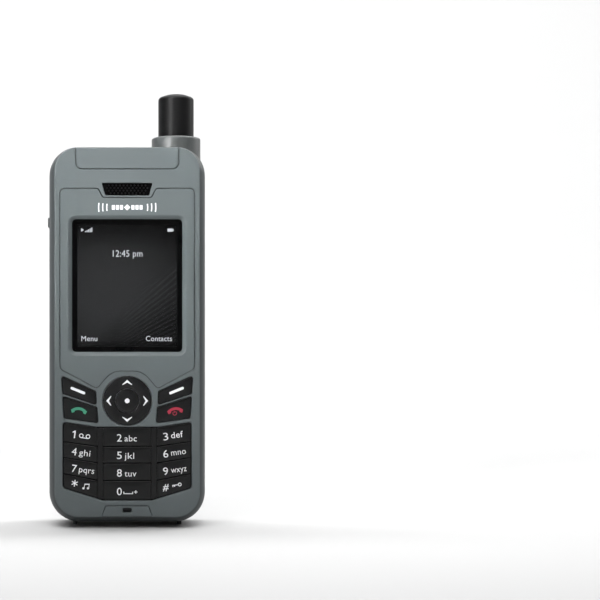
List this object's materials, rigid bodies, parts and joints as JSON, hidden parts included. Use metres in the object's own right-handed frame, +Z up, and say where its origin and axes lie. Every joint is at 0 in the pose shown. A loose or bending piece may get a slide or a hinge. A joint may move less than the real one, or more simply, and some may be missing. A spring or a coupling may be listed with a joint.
{
  "type": "satellite phone",
  "caption": "Handheld satellite phone with a display, a keypad, a navigation key and a pull-out antenna beside its top edge, standing on base runners.",
  "frame": {"origin": "middle of the surface that the phone stands on, under the centre of its box", "axes": "+X to the right seen from the front, +Y from the front face to the back, +Z up along the phone's length"},
  "size_m": [0.0534, 0.027, 0.1469],
  "materials": {
    "shell": "satin painted grey",
    "surround": "satin painted grey",
    "rear_shell": "fine texture, darker grey",
    "window": "clear, polished",
    "border": "black print",
    "screen": "display",
    "mesh": "black, perforated",
    "keycap": "satin black",
    "rubber": "matt black",
    "flap": "soft grey",
    "collar": "satin grey",
    "antenna_cover": "satin black",
    "copper": "bare copper",
    "steel": "plain",
    "tungsten": "sintered",
    "magnesium": "cast",
    "speaker": "moulded",
    "board": "solder mask",
    "ceramic": "fired",
    "card": "card",
    "battery": "wrapped",
    "contacts": "plated",
    "socket": "moulded"
  },
  "bodies": {
    "root": {"front_housing": "shell", "fascia_panel": "surround", "display_window": "window", "window_gasket": "border", "earpiece_mesh": "mesh", "top_insert": "shell", "chin_insert": "shell", "rear_housing": "rear_shell", "antenna_collar": "collar", "antenna_seal": "rubber", "base_runners": "rubber", "housing_seal": "rubber", "housing_screws": "steel", "mid_frame": "magnesium", "lcd_module": "screen", "earpiece_speaker": "speaker", "loudspeaker": "speaker", "microphone": "speaker", "keymat": "rubber", "dome_sheet": "steel", "keypad_board": "board", "main_board": "board", "shield_cans": "steel", "gps_patch": "ceramic", "sim_holder": "steel", "sim_card": "card", "battery_pack": "battery", "battery_contacts": "contacts", "usb_port": "steel", "audio_jack": "socket", "vibration_motor": "speaker"},
    "antenna": {"antenna_radome": "antenna_cover", "antenna_helix": "copper", "antenna_stop": "antenna_cover"},
    "vibration_weight": {"vibration_weight": "tungsten"},
    "battery_cover": {"battery_cover": "rear_shell", "cover_seal": "rubber"},
    "cover_lock": {"cover_lock": "steel"},
    "port_flap": {"port_flap": "flap"},
    "nav_rocker": {"nav_rocker": "rubber"},
    "nav_ring": {"nav_ring": "keycap"},
    "select_key": {"select_key": "keycap"},
    "soft_key_left": {"soft_key_left": "keycap"},
    "soft_key_right": {"soft_key_right": "keycap"},
    "call_key": {"call_key": "keycap"},
    "end_key": {"end_key": "keycap"},
    "key_1": {"key_1": "keycap"},
    "key_2": {"key_2": "keycap"},
    "key_3": {"key_3": "keycap"},
    "key_4": {"key_4": "keycap"},
    "key_5": {"key_5": "keycap"},
    "key_6": {"key_6": "keycap"},
    "key_7": {"key_7": "keycap"},
    "key_8": {"key_8": "keycap"},
    "key_9": {"key_9": "keycap"},
    "key_star": {"key_star": "keycap"},
    "key_0": {"key_0": "keycap"},
    "key_hash": {"key_hash": "keycap"}
  },
  "joints": [
    {"name": "antenna_extend", "type": "slide", "parent": "root", "child": "antenna", "axis": [0, 0, 1], "range_m": [0, 0.042]},
    {"name": "vibration_spin", "type": "hinge", "parent": "root", "child": "vibration_weight", "pos_m": [-0.0069, -0.0024, 0.018], "axis": [1, 0, 0], "continuous": true},
    {"name": "battery_cover_off", "type": "slide", "parent": "root", "child": "battery_cover", "axis": [0, 1, 0], "range_m": [0, 0.03]},
    {"name": "cover_lock_turn", "type": "hinge", "parent": "battery_cover", "child": "cover_lock", "pos_m": [0, 0.0108, 0.0092], "axis": [0, 1, 0], "range_deg": [0, 90]},
    {"name": "port_flap_open", "type": "hinge", "parent": "root", "child": "port_flap", "pos_m": [-0.0259, -0.0015, 0.084], "axis": [0, -1, 0], "range_deg": [0, 90]},
    {"name": "nav_tilt_up_down", "type": "hinge", "parent": "root", "child": "nav_rocker", "pos_m": [0, -0.012, 0.04234], "axis": [1, 0, 0], "range_deg": [-3.5, 3.5], "stiffness_Nm_per_rad": 0.02},
    {"name": "nav_tilt_left_right", "type": "hinge", "parent": "nav_rocker", "child": "nav_ring", "pos_m": [0, -0.012, 0.04234], "axis": [0, 0, 1], "range_deg": [-3.5, 3.5], "stiffness_Nm_per_rad": 0.02},
    {"name": "select_key_press", "type": "slide", "parent": "root", "child": "select_key", "axis": [0, 1, 0], "range_m": [0, 0.0004], "stiffness_N_per_m": 600},
    {"name": "soft_key_left_press", "type": "slide", "parent": "root", "child": "soft_key_left", "axis": [0, 1, 0], "range_m": [0, 0.0004], "stiffness_N_per_m": 600},
    {"name": "soft_key_right_press", "type": "slide", "parent": "root", "child": "soft_key_right", "axis": [0, 1, 0], "range_m": [0, 0.0004], "stiffness_N_per_m": 600},
    {"name": "call_key_press", "type": "slide", "parent": "root", "child": "call_key", "axis": [0, 1, 0], "range_m": [0, 0.0004], "stiffness_N_per_m": 600},
    {"name": "end_key_press", "type": "slide", "parent": "root", "child": "end_key", "axis": [0, 1, 0], "range_m": [0, 0.0004], "stiffness_N_per_m": 600},
    {"name": "key_1_press", "type": "slide", "parent": "root", "child": "key_1", "axis": [0, 1, 0], "range_m": [0, 0.0004], "stiffness_N_per_m": 600},
    {"name": "key_2_press", "type": "slide", "parent": "root", "child": "key_2", "axis": [0, 1, 0], "range_m": [0, 0.0004], "stiffness_N_per_m": 600},
    {"name": "key_3_press", "type": "slide", "parent": "root", "child": "key_3", "axis": [0, 1, 0], "range_m": [0, 0.0004], "stiffness_N_per_m": 600},
    {"name": "key_4_press", "type": "slide", "parent": "root", "child": "key_4", "axis": [0, 1, 0], "range_m": [0, 0.0004], "stiffness_N_per_m": 600},
    {"name": "key_5_press", "type": "slide", "parent": "root", "child": "key_5", "axis": [0, 1, 0], "range_m": [0, 0.0004], "stiffness_N_per_m": 600},
    {"name": "key_6_press", "type": "slide", "parent": "root", "child": "key_6", "axis": [0, 1, 0], "range_m": [0, 0.0004], "stiffness_N_per_m": 600},
    {"name": "key_7_press", "type": "slide", "parent": "root", "child": "key_7", "axis": [0, 1, 0], "range_m": [0, 0.0004], "stiffness_N_per_m": 600},
    {"name": "key_8_press", "type": "slide", "parent": "root", "child": "key_8", "axis": [0, 1, 0], "range_m": [0, 0.0004], "stiffness_N_per_m": 600},
    {"name": "key_9_press", "type": "slide", "parent": "root", "child": "key_9", "axis": [0, 1, 0], "range_m": [0, 0.0004], "stiffness_N_per_m": 600},
    {"name": "key_star_press", "type": "slide", "parent": "root", "child": "key_star", "axis": [0, 1, 0], "range_m": [0, 0.0004], "stiffness_N_per_m": 600},
    {"name": "key_0_press", "type": "slide", "parent": "root", "child": "key_0", "axis": [0, 1, 0], "range_m": [0, 0.0004], "stiffness_N_per_m": 600},
    {"name": "key_hash_press", "type": "slide", "parent": "root", "child": "key_hash", "axis": [0, 1, 0], "range_m": [0, 0.0004], "stiffness_N_per_m": 600}
  ]
}
